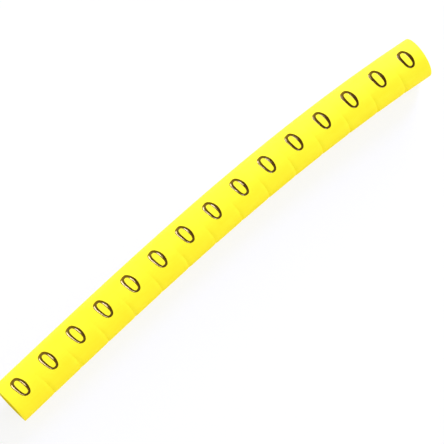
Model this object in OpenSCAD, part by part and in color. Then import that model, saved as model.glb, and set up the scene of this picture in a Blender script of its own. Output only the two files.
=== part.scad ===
// Strip of slide-on cable markers: one length of soft tube, stamped with a digit on every marker
// and knife-cut between them, with a thin web of wall left uncut underneath so that it stays one piece.
// It lies on its side of least height: +X along the chord, +Y to the outside of the bend, +Z up.
// The origin is the middle of its footprint, and all lengths are in millimetres.

/* [Tube] */
// Markers on the strip
marker_count = 15; // [3:1:24]
// Length of one marker along the tube
marker_l = 4; // [3:0.25:8]
// Outside diameter of the tube
tube_d = 5; // [4:0.1:8]
// Wall of the tube
wall = 0.7; // [0.6:0.05:1.2]

/* [Bend] */
// Turn from one marker to the next at the middle of the strip, in degrees
bend_mid = 0.67; // [0:0.01:1.5]
// Growth of that turn from each cut to the next, in degrees
bend_growth = 0.09; // [0:0.01:0.1]

/* [Knife cuts] */
// Width of the cut between two markers
cut_w = 0.04; // [0.02:0.01:0.2]
// Angle of wall that the knife leaves uncut on the underside, in degrees
web_angle = 80; // [40:5:120]
// Thickness of that web, in the middle of the wall
web_t = 0.4; // [0.2:0.05:0.5]
// Length of the web inside each of the two markers that it joins
web_bite = 0.4; // [0.3:0.05:0.8]

/* [Stamped digit] */
// Height of the digit, across the tube
digit_h = 2.38; // [1.6:0.02:3]
// Width of the digit, along the tube
digit_w = 1.4; // [1:0.02:2]
// Width of the digit's stroke at its sides
side_stroke = 0.36; // [0.16:0.02:0.4]
// Width of the digit's stroke at its ends
end_stroke = 0.28; // [0.16:0.02:0.4]
// Squareness of the digit's round, where 2 is an ellipse
digit_round = 2.5; // [2:0.1:4]
// Lean of the digit from square, in degrees
digit_lean = 7; // [-12:0.5:12]
// Place of the digit along its marker, from the middle
digit_shift = -0.03; // [-0.4:0.01:0.4]
// Depth that the hot die sinks into the wall
stamp_depth = 0.12; // [0.08:0.01:0.2]
// Thickness of the foil that it leaves there
foil_t = 0.04; // [0.02:0.01:0.07]
// Clearance between the foil and the sides of its recess
foil_gap = 0.01; // [0.005:0.005:0.03]

/* [Hidden] */
$fn = 96;
outline_points = 28;
tube_r = tube_d / 2;
bore_r = tube_r - wall;
web_r = tube_r - wall / 2;
last = marker_count - 1;
floor_r = tube_r - stamp_depth;
hole_w = digit_w - 2 * side_stroke;
hole_h = digit_h - 2 * end_stroke;
// Length that carries a cutting rod or prism past everything it cuts
past = tube_d + marker_l;

// Plan of the centre line: markers are straight, and the turn between them grows along the strip
function raw_heading(i) = -bend_mid * (i - last / 2) - bend_growth * pow(i - last / 2, 2) / 2;
function along(a) = [cos(a), sin(a)];
function across(a) = [-sin(a), cos(a)];
function sum(list, n) = n == 0 ? [0, 0] : list[n - 1] + sum(list, n - 1);
raw_steps = [for (i = [0:last]) marker_l * along(raw_heading(i))];
raw_chord = sum(raw_steps, marker_count);
chord_angle = atan2(raw_chord.y, raw_chord.x);
headings = [for (i = [0:last]) raw_heading(i) - chord_angle];
steps = [for (a = headings) marker_l * along(a)];
ends = [for (i = [0:marker_count]) sum(steps, i)];

// Corners of the markers in plan, which give the footprint and its middle
corners = [for (i = [0:last], e = [0, 1], s = [-1, 1]) ends[i + e] + s * tube_r * across(headings[i])];
xs = [for (c = corners) c.x];
ys = [for (c = corners) c.y];
middle = [min(xs) + max(xs), min(ys) + max(ys)] / 2;
joints = [for (p = ends) p - middle];

// A cut is square to the mean of its two markers' headings, and the strip's own ends are square too
function is_end(j) = j == 0 || j == marker_count;
function cut_heading(j) = (headings[max(j - 1, 0)] + headings[min(j, last)]) / 2;
function cut_line(j) = across(cut_heading(j));
function cut_inset(j) = is_end(j) ? [0, 0] : cut_w / 2 * along(cut_heading(j));
function marker_plan(i) = [
    joints[i] + cut_inset(i) - tube_d * cut_line(i),
    joints[i + 1] - cut_inset(i + 1) - tube_d * cut_line(i + 1),
    joints[i + 1] - cut_inset(i + 1) + tube_d * cut_line(i + 1),
    joints[i] + cut_inset(i) + tube_d * cut_line(i)
];

// Rounded oblong: |x / a| ^ n + |y / b| ^ n = 1
function bent(v) = sign(v) * pow(abs(v), 2 / digit_round);
function oval(w, h) = [
    for (k = [0:outline_points - 1])
        let (t = 360 * (k + 0.5) / outline_points)
            [w / 2 * bent(cos(t)), h / 2 * bent(sin(t))]
];

module on_marker(i) {
    centre = (joints[i] + joints[i + 1]) / 2;
    translate([centre.x, centre.y, tube_r])
        rotate(headings[i])
            children();
}

module on_cut(j) {
    translate([joints[j].x, joints[j].y, tube_r])
        rotate(cut_heading(j))
            children();
}

// Rod along the marker's own axis
module rod(r) {
    rotate([0, 90, 0])
        cylinder(r = r, h = 2 * past, center = true);
}

// Digit as an upright prism, with its stroke narrowed by a clearance on both sides
module digit_prism(clearance) {
    translate([digit_shift, 0, 0])
        rotate(digit_lean)
            linear_extrude(past)
                difference() {
                    polygon(oval(digit_w - 2 * clearance, digit_h - 2 * clearance));
                    polygon(oval(hole_w + 2 * clearance, hole_h + 2 * clearance));
                }
}

// Length of tube between two cuts, with the recess that the die leaves
module marker(i) {
    difference() {
        intersection() {
            on_marker(i)
                rod(tube_r);
            linear_extrude(tube_d)
                polygon(marker_plan(i));
        }
        on_marker(i)
            rod(bore_r);
        on_marker(i)
            difference() {
                digit_prism(0);
                rod(floor_r);
            }
    }
}

// Sector of wall that bridges a cut on the underside
module web(j) {
    on_cut(j)
        rotate([0, 90, 0])
            rotate(-web_angle / 2)
                rotate_extrude(angle = web_angle)
                    translate([web_r - web_t / 2, -web_bite - cut_w / 2])
                        square([web_t, 2 * web_bite + cut_w]);
}

module marker_strip() {
    color("gold")
        union() {
            for (i = [0:last])
                marker(i);
            for (j = [1:last])
                web(j);
        }
}

// Foil at the bottom of each recess, curved with the tube
module stamped_digits() {
    color([0.13, 0.08, 0.05])
        for (i = [0:last])
            on_marker(i)
                difference() {
                    intersection() {
                        digit_prism(foil_gap);
                        rod(floor_r + foil_t);
                    }
                    rod(floor_r);
                }
}

marker_strip();
stamped_digits();
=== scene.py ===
import math

import bpy
import numpy as np
from mathutils import Matrix, Vector


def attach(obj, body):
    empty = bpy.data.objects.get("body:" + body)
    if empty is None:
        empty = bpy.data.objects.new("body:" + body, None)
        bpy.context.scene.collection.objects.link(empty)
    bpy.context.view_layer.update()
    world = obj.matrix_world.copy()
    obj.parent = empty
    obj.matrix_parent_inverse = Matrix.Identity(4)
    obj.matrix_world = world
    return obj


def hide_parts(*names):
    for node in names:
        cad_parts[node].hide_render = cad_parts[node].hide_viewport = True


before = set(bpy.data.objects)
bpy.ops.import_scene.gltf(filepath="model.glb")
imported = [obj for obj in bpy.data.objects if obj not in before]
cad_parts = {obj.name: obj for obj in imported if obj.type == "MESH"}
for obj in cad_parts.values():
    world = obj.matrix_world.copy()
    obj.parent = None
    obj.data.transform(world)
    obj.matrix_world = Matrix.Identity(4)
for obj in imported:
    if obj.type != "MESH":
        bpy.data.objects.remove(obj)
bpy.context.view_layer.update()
mm = 0.001
print("frame loaded:", ", ".join(sorted(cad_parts)))

# plan of the strip in millimetres and degrees, as in the CAD part, apart from the knife and the press
stripPlan = {
    "markers": 15,
    "markerLength": 4.0,
    "tubeRadius": 2.5,
    "boreRadius": 1.8,
    "bendMid": 0.67,  # turn at the middle cut
    "bendGrowth": 0.09,  # growth of that turn from cut to cut
    "knifeLean": 6.5,  # the knife crosses the tube a little off square
    "knifeGap": 0.002,  # how far a cut stands open
    "pressStart": 0.62,  # share of the strip after which the die presses deeper
    "pressGrowth": 0.42,  # share by which it is deeper at the end
}


# heading of marker k, counted from the middle: -(mid k + growth k^2 / 2), less the angle of the chord;
# the joints are the running sum of the markers' lengths, and the middle of the footprint is the origin;
# the press is 1, and after its start grows in a straight line to 1 + growth
def layStrip(plan):
    count, length = plan["markers"], plan["markerLength"]
    number = np.arange(count)
    k = number - (count - 1) / 2
    raw = -np.radians(plan["bendMid"] * k + plan["bendGrowth"] * k * k / 2)
    heading = raw - np.arctan2(np.sin(raw).sum(), np.cos(raw).sum())
    along = np.stack([np.cos(heading), np.sin(heading)], 1)
    across = np.stack([-np.sin(heading), np.cos(heading)], 1)
    joints = np.vstack([np.zeros((1, 2)), np.cumsum(length * along, 0)])
    side = plan["tubeRadius"] * across
    corners = np.concatenate([joints[:-1] + side, joints[:-1] - side, joints[1:] + side, joints[1:] - side])
    joints = joints - (corners.min(0) + corners.max(0)) / 2
    mitre = np.concatenate([heading[:1], (heading[1:] + heading[:-1]) / 2, heading[-1:]])
    isCut = np.concatenate([[0.0], np.ones(count - 1), [0.0]])  # 0 at the strip's own ends
    knife = mitre + np.radians(plan["knifeLean"]) * isCut
    deeper = np.clip((number / (count - 1) - plan["pressStart"]) / (1 - plan["pressStart"]), 0, 1)
    return {
        "along": along,
        "across": across,
        "centre": (joints[1:] + joints[:-1]) / 2,
        "startSlope": np.tan(knife[:-1] - heading),
        "endSlope": np.tan(knife[1:] - heading),
        "startCut": isCut[:-1],
        "endCut": isCut[1:],
        "startPlace": length * number,
        "press": 1 + plan["pressGrowth"] * deeper,
    }


strip = layStrip(stripPlan)


# one value or vector for each marker, shaped to go with arrays of more axes
def perMarker(key, axes):
    values = strip[key]
    return values.reshape(values.shape[:1] + (1,) * axes + values.shape[1:])


# marker's own (s along, y across, z up from its axis) to the part's frame in metres:
# centre + s * along + y * across, with z raised by the tube's radius
def toFrame(s, y, z):
    centre, along, across = (perMarker(key, s.ndim - 1) for key in ("centre", "along", "across"))
    flat = centre + s[..., None] * along + y[..., None] * across
    return np.concatenate([flat, z[..., None] + stripPlan["tubeRadius"]], -1).reshape(-1, 3) * mm


# the same points as if the tube were straight, which lets a grain follow the bend:
# (s + place of the marker, y, z)
def toTube(s, y, z):
    return np.stack([s + perMarker("startPlace", s.ndim - 1), y, z], -1).reshape(-1, 3)


# quads of a grid, closed in both directions or open in both: (i, j) (i+1, j) (i+1, j+1) (i, j+1)
def gridQuads(rows, columns, closed=True):
    steps = (rows, columns) if closed else (rows - 1, columns - 1)
    i, j = np.meshgrid(np.arange(steps[0]), np.arange(steps[1]), indexing="ij")
    down, right = (i + 1) % rows, (j + 1) % columns
    return np.stack([i * columns + j, down * columns + j, down * columns + right, i * columns + right], -1)


# quads between each row of a table of points and the next, where every row is a closed loop
def loopQuads(table):
    following = np.roll(table, -1, 1)
    return np.stack([table[:-1], following[:-1], following[1:], table[1:]], -1).reshape(-1, 4)


# faces of one marker for every marker, whose points follow each other: face + points * marker
def everyMarker(faces, points):
    faces = faces.reshape(-1, faces.shape[-1])
    return (faces + points * np.arange(stripPlan["markers"])[:, None, None]).reshape(-1, faces.shape[-1])


noTriangles = np.zeros((0, 3), int)


# smooth mesh of the points that its faces use, which keep their place along the straightened tube
def makeMesh(name, points, place, quads, triangles=noTriangles):
    used = np.zeros(len(points), bool)
    used[quads] = True
    used[triangles] = True
    newIndex = np.cumsum(used) - 1
    points, place = points[used], place[used]
    loops = newIndex[np.concatenate([quads.ravel(), triangles.ravel()])]
    starts = np.concatenate([4 * np.arange(len(quads)), quads.size + 3 * np.arange(len(triangles))])
    mesh = bpy.data.meshes.new(name)
    mesh.vertices.add(len(points))
    mesh.vertices.foreach_set("co", points.astype(np.float32).ravel())
    mesh.loops.add(len(loops))
    mesh.loops.foreach_set("vertex_index", loops.astype(np.int32))
    mesh.polygons.add(len(starts))
    mesh.polygons.foreach_set("loop_start", starts.astype(np.int32))
    mesh.polygons.foreach_set("use_smooth", np.ones(len(starts), bool))
    tubePlace = mesh.attributes.new("tubePlace", "FLOAT_VECTOR", "POINT")
    tubePlace.data.foreach_set("vector", place.astype(np.float32).ravel())
    mesh.update(calc_edges=True)
    mesh.validate()
    piece = bpy.data.objects.new(name, mesh)
    bpy.context.scene.collection.objects.link(piece)
    print(name, len(points), "points", 2 * len(quads) + len(triangles), "triangles")
    return piece


digitShape = {
    # half sizes; squareness, where 2 is an ellipse: on the whole, how much more on one side, and that side's
    # angle; lean in degrees; place from the digit's own middle
    "outside": {"half": (0.705, 1.197), "round": (2.45, 0.6, 152.0), "lean": 9.2, "place": (0.014, -0.012)},
    "hole": {"half": (0.342, 0.895), "round": (2.83, 0.39, 333.0), "lean": 4.3, "place": (-0.019, -0.071)},
    "shift": -0.03,  # from the middle of the marker
    "steep": 0.56,  # fall of the foil for each length across its stroke
    "edgeRound": 0.45,  # share of each slope of the recess that is rounded at its edge
    "bottomRound": 0.06,  # and at the bottom
    "shoulder": 0.06,  # share of the stroke, outside it, over which the wall starts to sink
    "foil": 0.03,
    "foilEdge": 0.16,  # share of the stroke over which the foil thins out
    "foilLift": 0.002,  # of the foil from the wall under it
    "foilRows": [0.003, 0.02] + [0.05 * k for k in range(1, 20)] + [0.98, 0.997],  # shares of the stroke
}


# 3 t^2 - 2 t^3 between 0 and 1
def smooth(t):
    t = np.clip(t, 0, 1)
    return t * t * (3 - 2 * t)


# rounded oblong |x / a|^n + |y / b|^n = 1, with n = whole + more cos(turn - side), then leaned
# and put in its place
def oblong(shape, turn):
    whole, more, side = shape["round"]
    power = 2 / (whole + more * np.cos(turn - math.radians(side)))
    x, y = (h * np.sign(c) * np.abs(c) ** power for h, c in zip(shape["half"], (np.cos(turn), np.sin(turn))))
    u, v = shape["place"]
    cosLean, sinLean = math.cos(math.radians(shape["lean"])), math.sin(math.radians(shape["lean"]))
    return np.array([u + x * cosLean - y * sinLean, v + x * sinLean + y * cosLean])


# outline of the digit at a share t across its stroke: outside + t (hole - outside)
def digitOutline(turn, t):
    outside, hole = oblong(digitShape["outside"], turn), oblong(digitShape["hole"], turn)
    return outside + t * (hole - outside)


# depth of the foil's top: from each edge to the middle, r = 0 to 1, its slope grows to full over the
# rounded edge a, stays, and falls to none over the rounded bottom b; that sums to r^2 / 2a, then r - a / 2,
# and at the bottom less (r - 1 + b)^2 / 2b, times half the stroke, the fall and each marker's own press
def foilDepth(turn, t):
    a, b = digitShape["edgeRound"], digitShape["bottomRound"]
    r = np.clip(2 * np.minimum(t, 1 - t), 0, 1)
    fallen = np.where(r < a, r ** 2 / (2 * a), r - a / 2) - np.clip(r - 1 + b, 0, None) ** 2 / (2 * b)
    stroke = np.hypot(*(digitOutline(turn, 1) - digitOutline(turn, 0)))
    deep = digitShape["steep"] * stroke / 2 * fallen
    return deep * perMarker("press", deep.ndim)


# thickness of the foil: full in the middle of the stroke, and smoothly down to nothing at its edges
def foilThickness(t):
    return digitShape["foil"] * smooth(np.minimum(t, 1 - t) / digitShape["foilEdge"])


# depth of the wall: foil's top + foil + twice the lift, which fades out over a soft shoulder
# outside the stroke
def recessDepth(turn, t):
    shoulder = smooth(np.minimum(t, 1 - t) / digitShape["shoulder"] + 1)
    return foilDepth(turn, t) + foilThickness(t) + 2 * digitShape["foilLift"] * shoulder


tubeShape = {
    "rim": [0.0, 0.006, 0.02, 0.045, 0.08, 0.13, 0.2, 0.29, 0.4, 0.5],  # rows back from a cut
    "rimDip": 0.11,  # how far the knife draws the rim in on the side where it went through
    "rimReach": 0.45,
    "rimRest": 0.03,  # share of that away from the knife
    "rimPlain": 0.3,  # and at the strip's own ends
    # where the knife went in and out, as an angle round the tube from the top, and its share of the dip
    "knifeSides": ((-75.0, 1.0), (115.0, 0.5)),
    "knifeSpread": 12,  # the higher, the narrower those sides
    "boreRim": 0.04,
    "fieldLength": 1.05,  # half size of the field around the digit, along the tube
    "fieldAngle": 40.0,  # and round it
    "fieldSteps": (16, 28),
    "sideSteps": 56,
    "blend": [0.3, 0.6, 0.85],  # rings from the edge of the field to the digit
    # rings of the field across the stroke, as shares of it
    "rings": [-0.4, -0.22, -0.12, -0.06, -0.01, 0.04, 0.1, 0.16, 0.23, 0.31, 0.4, 0.5]
    + [0.6, 0.69, 0.77, 0.84, 0.9, 0.96, 1.01, 1.06, 1.12, 1.22, 1.4],
    "island": [0.7, 0.4, 0.15],  # rings inside the digit, as shares of the last one
    "webAngle": 80.0,  # of the wall that the knife leaves underneath
    "webThickness": 0.4,
}
fieldAlong, fieldAround = tubeShape["fieldSteps"]
fieldPlaces = tubeShape["fieldLength"] * np.linspace(-1, 1, fieldAlong + 1)
fieldTurns = np.radians(tubeShape["fieldAngle"]) * np.linspace(-1, 1, fieldAround + 1)
sideTurns = np.linspace(fieldTurns[-1], 2 * np.pi + fieldTurns[0], tubeShape["sideSteps"] + 1)
tubeTurns = np.concatenate([fieldTurns, sideTurns[1:-1]])
webReach = round(math.radians(tubeShape["webAngle"] / 2) / (sideTurns[1] - sideTurns[0]))
webColumns = fieldAround + tubeShape["sideSteps"] // 2 + np.arange(-webReach, webReach + 1)


# a and b at the points of the edge of a rectangle, each corner once: a up, b up, a down, b down
def edgeOf(a, b):
    level, upright = np.ones_like(a[:-1]), np.ones_like(b[:-1])
    alongEdge = np.concatenate([a[:-1], a[-1] * upright, a[:0:-1], a[0] * upright])
    aroundEdge = np.concatenate([b[0] * level, b[:-1], b[-1] * level, b[:0:-1]])
    return alongEdge, aroundEdge


# edge of the field around the digit, anticlockwise seen from outside: x along, y = radius sin(angle) across,
# and the turn of the digit's outline that each point leads to
def fieldEdge():
    x, angle = edgeOf(fieldPlaces, fieldTurns)
    y = stripPlan["tubeRadius"] * np.sin(angle)
    lean = math.radians(digitShape["outside"]["lean"])
    u, v = x * math.cos(lean) + y * math.sin(lean), y * math.cos(lean) - x * math.sin(lean)
    return x, y, np.arctan2(v / y.max(), u / x.max())


# closed profile of a marker: the first row of each of its parts, and six columns for all rows, which are
# radius, how far it is drawn in by dip (1 - e / reach)^2 at a distance e from a cut, share of the start cut,
# share of the end cut, that distance e, and place where the row belongs to no cut
def markerProfile():
    big, small, bevel = stripPlan["tubeRadius"], stripPlan["boreRadius"], tubeShape["boreRim"]
    rim = np.array(tubeShape["rim"])
    dip = tubeShape["rimDip"] * np.clip(1 - rim / tubeShape["rimReach"], 0, 1) ** 2
    web = (big + small) / 2 + tubeShape["webThickness"] / 2 * np.array([1, -1])
    webDip = dip[0] * (web - small - bevel) / (big - small - bevel)
    parts = {
        "startRim": [(big, d, 1, 0, back, 0) for back, d in zip(rim, dip)],
        "field": [(big, 0, 0, 0, 0, place + digitShape["shift"]) for place in fieldPlaces],
        "endRim": [(big, d, 0, 1, -back, 0) for back, d in zip(rim[::-1], dip[::-1])],
        "endFace": [(r, d, 0, 1, 0, 0) for r, d in zip(web, webDip)],
        "bore": [
            (small + bevel, 0, 0, 1, 0, 0),
            (small, 0, 0, 1, -bevel, 0),
            (small, 0, 0.5, 0.5, 0, 0),
            (small, 0, 1, 0, bevel, 0),
            (small + bevel, 0, 1, 0, 0, 0),
        ],
        "startFace": [(r, d, 1, 0, 0, 0) for r, d in zip(web[::-1], webDip[::-1])],
    }
    first = dict(zip(parts, np.cumsum([0] + [len(rows) for rows in parts.values()])))
    return first, np.array(sum(parts.values(), []), float).T


# that profile turned about the tube, for every marker: y = r sin(angle), z = r cos(angle), where r is
# drawn in most on the knife's sides, by ((1 + cos(angle - side)) / 2)^spread; a cut lies half a marker
# from the middle, less slope * y for the knife's lean
def markerGrid(profile):
    t, half, gap = tubeShape, stripPlan["markerLength"] / 2, stripPlan["knifeGap"] / 2
    radius, drawn, atStart, atEnd, back, free = profile[:, None, :, None]
    startCut, endCut, startSlope, endSlope = (
        perMarker(key, 2) for key in ("startCut", "endCut", "startSlope", "endSlope")
    )
    sides, shares = np.array(t["knifeSides"]).T[:, :, None]
    onSides = (shares * (0.5 + 0.5 * np.cos(tubeTurns - np.radians(sides))) ** t["knifeSpread"]).sum(0)
    knife = t["rimRest"] + (1 - t["rimRest"]) * onSides
    cutShare = t["rimPlain"] + (1 - t["rimPlain"]) * (atStart * startCut + atEnd * endCut)
    radius = radius - drawn * knife * cutShare
    y, z = radius * np.sin(tubeTurns), radius * np.cos(tubeTurns)
    start = gap * startCut - half - y * startSlope
    end = half - gap * endCut - y * endSlope
    return atStart * start + atEnd * end + back + free, y, z


# rings in place of the grid around the digit, and a pole: from the edge of the field to the digit,
# across its stroke, and inside it; x along, y across, and z = sqrt((radius - depth)^2 - y^2) up
def digitRings():
    edgeX, edgeY, lead = fieldEdge()
    stroke = [digitOutline(lead, share) for share in tubeShape["rings"]]
    blend = [(1 - share) * np.array([edgeX, edgeY]) + share * stroke[0] for share in tubeShape["blend"]]
    island = [share * stroke[-1] for share in tubeShape["island"]]
    x, y = np.concatenate(blend + stroke + island + [np.zeros((2, 1))], 1)
    depth = np.zeros((stripPlan["markers"], len(x)))
    sunk = slice(len(blend) * len(lead), (len(blend) + len(stroke)) * len(lead))
    depth[:, sunk] = np.concatenate([recessDepth(lead, share) for share in tubeShape["rings"]], 1)
    return x + digitShape["shift"], y, np.sqrt((stripPlan["tubeRadius"] - depth) ** 2 - y ** 2)


# markers: the grid without the cells of the field and of the webs, the field's rings, and the webs that lead
# from the end face of each marker to the start face of the next
def buildTube():
    first, profile = markerProfile()
    grid, rings = markerGrid(profile), digitRings()
    copies, rows, columns = grid[0].shape
    s, y, z = (
        np.concatenate([onGrid.reshape(copies, -1), np.broadcast_to(onRings, rings[2].shape)], 1)
        for onGrid, onRings in zip(grid, rings)
    )
    each = s.shape[1]

    cells = gridQuads(rows, columns)
    fieldRows = np.arange(first["field"], first["endRim"])
    endFace, startFace = first["endFace"], first["startFace"]
    keep = np.ones(cells.shape[:2], bool)
    keep[fieldRows[:-1], :fieldAround] = False
    keep[[[endFace], [startFace]], webColumns[:-1]] = False

    edgeRow, edgeColumn = edgeOf(fieldRows, np.arange(fieldAround + 1))
    edge = edgeRow * columns + edgeColumn
    table = np.vstack([edge, np.arange(rows * columns, each - 1).reshape(-1, len(edge))])
    pole = np.stack([table[-1], np.roll(table[-1], -1), np.full(len(edge), each - 1)], -1)

    back = webColumns[::-1]
    endLoop = np.concatenate([endFace * columns + webColumns, (endFace + 1) * columns + back])
    startLoop = np.concatenate([(startFace + 1) * columns + webColumns, startFace * columns + back])
    webs = loopQuads(np.stack([startLoop + each, endLoop])) + each * np.arange(copies - 1)[:, None, None]
    plainEnds = [cells[startFace, webColumns[:-1]], cells[endFace, webColumns[:-1]] + each * (copies - 1)]

    quads = everyMarker(np.concatenate([cells[keep], loopQuads(table)]), each)
    quads = np.concatenate([quads, webs.reshape(-1, 4)] + plainEnds)
    return makeMesh("markerTube", toFrame(s, y, z), toTube(s, y, z), quads, everyMarker(pole, each))


# foil in the recess: a closed ring whose section goes over its top and back along its underside,
# a hair above the wall; z = sqrt((radius - depth)^2 - y^2)
def buildDigits():
    lead = fieldEdge()[2]
    share = np.array(digitShape["foilRows"])[:, None]
    top = foilDepth(lead, share)
    under = top + foilThickness(share) + digitShape["foilLift"]
    section = np.concatenate([share, share[::-1]])
    depth = np.concatenate([top, under[:, ::-1]], 1)
    x, y = digitOutline(lead[None, :], section)
    z = np.sqrt((stripPlan["tubeRadius"] - depth) ** 2 - y ** 2)
    s, y = (np.broadcast_to(c, depth.shape) for c in (x + digitShape["shift"], y))
    quads = everyMarker(gridQuads(len(section), len(lead))[:, :, ::-1], x.size)
    return makeMesh("stampedDigits", toFrame(s, y, z), toTube(s, y, z), quads)


noiseMean = 0.5
plainWhite = (1, 1, 1, 1)


# a socket that can be added, taken away and multiplied: each operator adds one Math node
class Strand:
    def __init__(self, paint, socket):
        self.paint, self.socket = paint, socket

    def math(self, operation, first, second):
        return self.paint.node("ShaderNodeMath", {"operation": operation}, {0: first, 1: second})

    def __add__(self, other):
        return self.math("ADD", self, other)

    def __radd__(self, other):
        return self.math("ADD", other, self)

    def __sub__(self, other):
        return self.math("SUBTRACT", self, other)

    def __rsub__(self, other):
        return self.math("SUBTRACT", other, self)

    def __mul__(self, other):
        return self.math("MULTIPLY", self, other)

    def __rmul__(self, other):
        return self.math("MULTIPLY", other, self)


class Paint:
    def __init__(self, tree):
        self.tree = tree
        tree.nodes.clear()

    # any node: its type, then its settings, then the values or links of its sockets
    def node(self, kind, settings, sockets, out=0):
        made = self.tree.nodes.new(kind)
        for key, value in settings.items():
            setattr(made, key, value)
        for key, value in sockets.items():
            if isinstance(value, Strand):
                self.tree.links.new(value.socket, made.inputs[key])
            else:
                made.inputs[key].default_value = value
        return Strand(self, made.outputs[out]) if made.outputs else made

    # noise less its mean, on a place that is stretched first
    def noise(self, place, stretch, scale, detail, roughness):
        moved = self.node("ShaderNodeVectorMath", {"operation": "MULTIPLY"}, {0: place, 1: stretch})
        sockets = {"Vector": moved, "Scale": scale, "Detail": detail, "Roughness": roughness}
        return self.node("ShaderNodeTexNoise", {}, sockets, "Fac") - noiseMean

    def mixed(self, factor, first, second):
        return self.node("ShaderNodeMix", {"data_type": "RGBA"}, {0: factor, 6: first, 7: second}, 2)

    # smoothly from 0 at low to 1 at high
    def spread(self, value, low, high):
        sockets = {0: value, 1: low, 2: high}
        return self.node("ShaderNodeMapRange", {"interpolation_type": "SMOOTHSTEP"}, sockets)

    # place along the straightened tube
    def tubePlace(self):
        return self.node("ShaderNodeAttribute", {"attribute_name": "tubePlace"}, {}, "Vector")

    # a place's value along one axis
    def part(self, place, axis):
        return self.node("ShaderNodeSeparateXYZ", {}, {0: place}, axis)

    def output(self, surface, kind="Material"):
        self.node("ShaderNodeOutput" + kind, {}, {"Surface": surface})


def newPaint(name):
    material = bpy.data.materials.new(name)
    material.use_nodes = True
    return material, Paint(material.node_tree)


tubeFinish = {
    "light": (1.0, 0.91, 0.028, 1),
    "deep": (0.99, 0.83, 0.018, 1),
    "under": (1.0, 0.82, 0.010, 1),  # painted shade: a deeper colour low down on the tube, where it turns away from the light
    "paintedShadeHeight": (1.7, 0.1),  # painted shade, above the axis: where it starts, and where it is full
    "paintedShadeAlong": (50.0, 4.0),  # painted shade along the tube: places between which the colour slowly deepens
    "depth": {"pigment": 0.4, "paintedShadeAlong": 0.5},  # how far each of the two goes from light to deep
    # noises: stretch along, across and up, then scale, detail and roughness
    "cloud": ((0.35, 0.5, 0.5), 1.0, 3.0, 0.5),
    "lines": ((0.10, 5.0, 5.0), 1.0, 4.0, 0.6),
    "grain": ((1.0, 1.0, 1.0), 14.0, 3.0, 0.6),
    "pigment": {"cloud": 0.6, "lines": 0.25, "grain": 0.15, "range": (-0.14, 0.14)},
    "roughness": {"mean": 0.56, "lines": 0.16, "grain": 0.14},
    "skin": {"lines": 0.5, "grain": 0.6, "strength": 0.12, "height": 0.00002},
    "specular": 0.08,
}


# soft extruded yellow: cloudy pigment, fine draw lines along the tube, a faint skin, and painted shade that
# deepens the colour along the tube and low down on it
def yellowFinish():
    f = tubeFinish
    pigment, depth, roughness, skin = f["pigment"], f["depth"], f["roughness"], f["skin"]
    material, paint = newPaint("yellowTube")
    place = paint.tubePlace()
    cloud, lines, grain = (paint.noise(place, *f[name]) for name in ("cloud", "lines", "grain"))
    clouded = cloud * pigment["cloud"] + lines * pigment["lines"] + grain * pigment["grain"]
    clouded = paint.spread(clouded, *pigment["range"])
    # painted shade: the colour deepens slowly along the tube
    paintedShadeAlongShare = paint.spread(paint.part(place, "X"), *f["paintedShadeAlong"])
    colour = paint.mixed(clouded * depth["pigment"] + paintedShadeAlongShare * depth["paintedShadeAlong"], f["light"], f["deep"])
    # painted shade: the colour deepens low down on the tube
    colour = paint.mixed(paint.spread(paint.part(place, "Z"), *f["paintedShadeHeight"]), colour, f["under"])
    bump = paint.node("ShaderNodeBump", {}, {
        "Strength": skin["strength"],
        "Distance": skin["height"],
        "Height": lines * skin["lines"] + grain * skin["grain"],
    })
    shader = paint.node("ShaderNodeBsdfPrincipled", {}, {
        "Base Color": colour,
        "Roughness": roughness["mean"] + lines * roughness["lines"] + grain * roughness["grain"],
        "Specular IOR Level": f["specular"],
        "Normal": bump,
    })
    paint.output(shader)
    return material


foilFinish = {
    "dark": (0.034, 0.004, 0.0003, 1),
    # paler brown, for worn, thin foil and for the painted reflection
    "thin": (0.176, 0.10, 0.003, 1),
    "thinningAndReflection": (-0.3, 1.1),  # across the tube towards +Y, lighter and browner: partly thinner foil, partly a painted reflection of light from that side
    "patch": ((1.0, 1.0, 1.0), 1.7, 3.0, 0.5),  # noises, as for the tube
    "ruck": ((1.0, 1.0, 1.0), 9.0, 4.0, 0.6),
    "wearAndReflection": {"thinningAndReflection": 0.8, "patch": 0.7, "ruck": 0.4},
    "roughness": {"mean": 0.2, "ruck": 0.2},
    "skin": {"strength": 0.06, "height": 0.00002},
    "specular": 0.7,
    "tint": (1.0, 0.72, 0.09, 1),
}


# hot-stamped foil: glossy brown black, thinner and browner in patches, lighter and browner towards +Y by
# thinner foil and a painted reflection, and slightly rucked
def darkFinish():
    f = foilFinish
    wearAndReflection, roughness, skin = f["wearAndReflection"], f["roughness"], f["skin"]
    material, paint = newPaint("darkFoil")
    place = paint.tubePlace()
    patch, ruck = (paint.noise(place, *f[name]) for name in ("patch", "ruck"))
    # painted reflection, together with thinner foil: lighter and browner across the tube towards +Y
    thinningAndReflection = paint.spread(paint.part(place, "Y"), *f["thinningAndReflection"])
    wornAndLit = thinningAndReflection * wearAndReflection["thinningAndReflection"] + patch * wearAndReflection["patch"] + ruck * wearAndReflection["ruck"]
    colour = paint.mixed(paint.node("ShaderNodeClamp", {}, {0: wornAndLit}), f["dark"], f["thin"])
    bump = paint.node("ShaderNodeBump", {}, {
        "Strength": skin["strength"],
        "Distance": skin["height"],
        "Height": ruck,
    })
    shader = paint.node("ShaderNodeBsdfPrincipled", {}, {
        "Base Color": colour,
        "Roughness": roughness["mean"] + ruck * roughness["ruck"],
        "Specular IOR Level": f["specular"],
        "Specular Tint": f["tint"],
        "Normal": bump,
    })
    paint.output(shader)
    return material


def dress(piece, node, material):
    piece.data.materials.append(material)
    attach(piece, "root")
    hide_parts(node)


dress(buildTube(), "marker_strip", yellowFinish())
dress(buildDigits(), "stamped_digits", darkFinish())
print("strip dressed")

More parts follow.
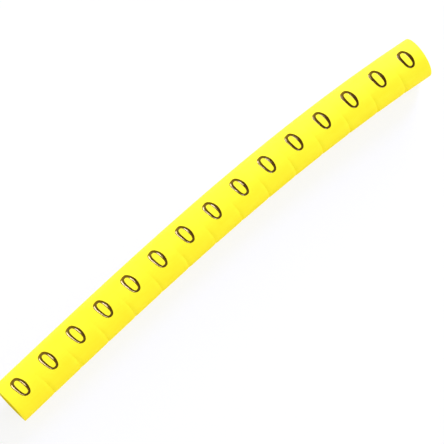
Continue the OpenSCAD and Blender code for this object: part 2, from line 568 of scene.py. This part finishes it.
studio = {
    "floorWhite": 0.86,
    "floorGlow": 0.82,  # share of plain white that the camera sees on the floor
    "floorHalf": 1.0,  # half size, in metres
    "floorDrop": 2e-6,  # below the part, in metres
    "dome": 0.53,
    "fillStrength": 1.24,
    "fillFrom": (0.38, -0.63, 0.68),
    "fillAngle": 80.0,
    "bandPower": 4.4,  # low band of light, which the slopes of the digits catch
    "bandDistance": 0.6,
    "bandEnds": ((10.0, 29.4), (43.0, 11.3)),  # azimuth and elevation of its two ends
    "bandHeight": 15.0,
    "bandColour": (1.0, 1.06, 2.5),
}


# 1 for what the camera sees, also in a reflection or through something clear
def seenDirectly(paint):
    rays = ("Is Camera Ray", "Is Glossy Ray", "Is Transmission Ray")
    camera, glossy, clear = (paint.node("ShaderNodeLightPath", {}, {}, ray) for ray in rays)
    return paint.node("ShaderNodeClamp", {}, {0: camera + glossy + clear})


# flat: (u, v) -> (u, v, -drop)
def buildFloor():
    half, white = studio["floorHalf"], studio["floorWhite"]
    material, paint = newPaint("paleFloor")
    matt = paint.node("ShaderNodeBsdfDiffuse", {}, {"Color": (white, white, white, 1)})
    glow = paint.node("ShaderNodeEmission", {}, {"Color": plainWhite, "Strength": 1.0})
    shown = seenDirectly(paint) * studio["floorGlow"]
    paint.output(paint.node("ShaderNodeMixShader", {}, {0: shown, 1: matt, 2: glow}))
    u, v = np.meshgrid(np.linspace(-half, half, 3), np.linspace(-half, half, 3), indexing="ij")
    points = np.stack([u, v, np.full_like(u, -studio["floorDrop"])], -1).reshape(-1, 3)
    floor = makeMesh("floor", points, points, gridQuads(3, 3, closed=False).reshape(-1, 4))
    floor.data.materials.append(material)


def buildDome():
    world = bpy.data.worlds.new("softDome")
    world.use_nodes = True
    paint = Paint(world.node_tree)
    strength = studio["dome"] + seenDirectly(paint) * (1 - studio["dome"])
    sky = paint.node("ShaderNodeBackground", {}, {"Color": plainWhite, "Strength": strength})
    paint.output(sky, "World")
    bpy.context.scene.world = world
    bpy.context.scene.view_settings.view_transform = "Standard"


# cos e (cos a, sin a), sin e for an azimuth a from +X and an elevation e
def direction(azimuth, elevation):
    a, e = math.radians(azimuth), math.radians(elevation)
    return Vector((math.cos(a) * math.cos(e), math.sin(a) * math.cos(e), math.sin(e)))


def hang(name, data, place, turned):
    hung = bpy.data.objects.new(name, data)
    hung.location, hung.rotation_euler = place, turned.to_euler()
    bpy.context.scene.collection.objects.link(hung)
    return hung


def hangFill():
    fill = bpy.data.lights.new("fill", "SUN")
    fill.energy, fill.angle = studio["fillStrength"], math.radians(studio["fillAngle"])
    hang("fill", fill, Vector(), Vector(studio["fillFrom"]).to_track_quat("Z", "Y"))


# a rectangle between the two ends, seen from the strip: each side is 2 distance tan(its angle / 2)
def hangBand():
    first, last = (direction(*end) for end in studio["bandEnds"])
    away, level = (first + last).normalized(), (last - first).normalized()
    reach = studio["bandDistance"]
    band = bpy.data.lights.new("band", "AREA")
    band.shape, band.energy, band.color = "RECTANGLE", studio["bandPower"], studio["bandColour"]
    band.size = 2 * reach * math.tan(first.angle(last) / 2)
    band.size_y = 2 * reach * math.tan(math.radians(studio["bandHeight"] / 2))
    hang("band", band, reach * away, Matrix((level, away.cross(level), away)).transposed().to_quaternion())


photoView = {
    "azimuth": -41.61,  # 0 looks along +Y
    "elevation": 72.63,
    "distance": 183.2,
    "target": (0.322, -0.521, 2.5),
    "lens": 135.2,
    "sensor": 36.0,
    "nearest": 0.005,  # metres from the camera
}


def buildCamera():
    p = photoView
    back = direction(p["azimuth"] - 90, p["elevation"])
    data = bpy.data.cameras.new("photoView")
    data.lens, data.sensor_width, data.clip_start = p["lens"], p["sensor"], p["nearest"]
    place = (Vector(p["target"]) + p["distance"] * back) * mm
    bpy.context.scene.camera = hang("photoView", data, place, back.to_track_quat("Z", "Y"))


buildFloor()
buildDome()
hangFill()
hangBand()
buildCamera()
print("studio and camera set")
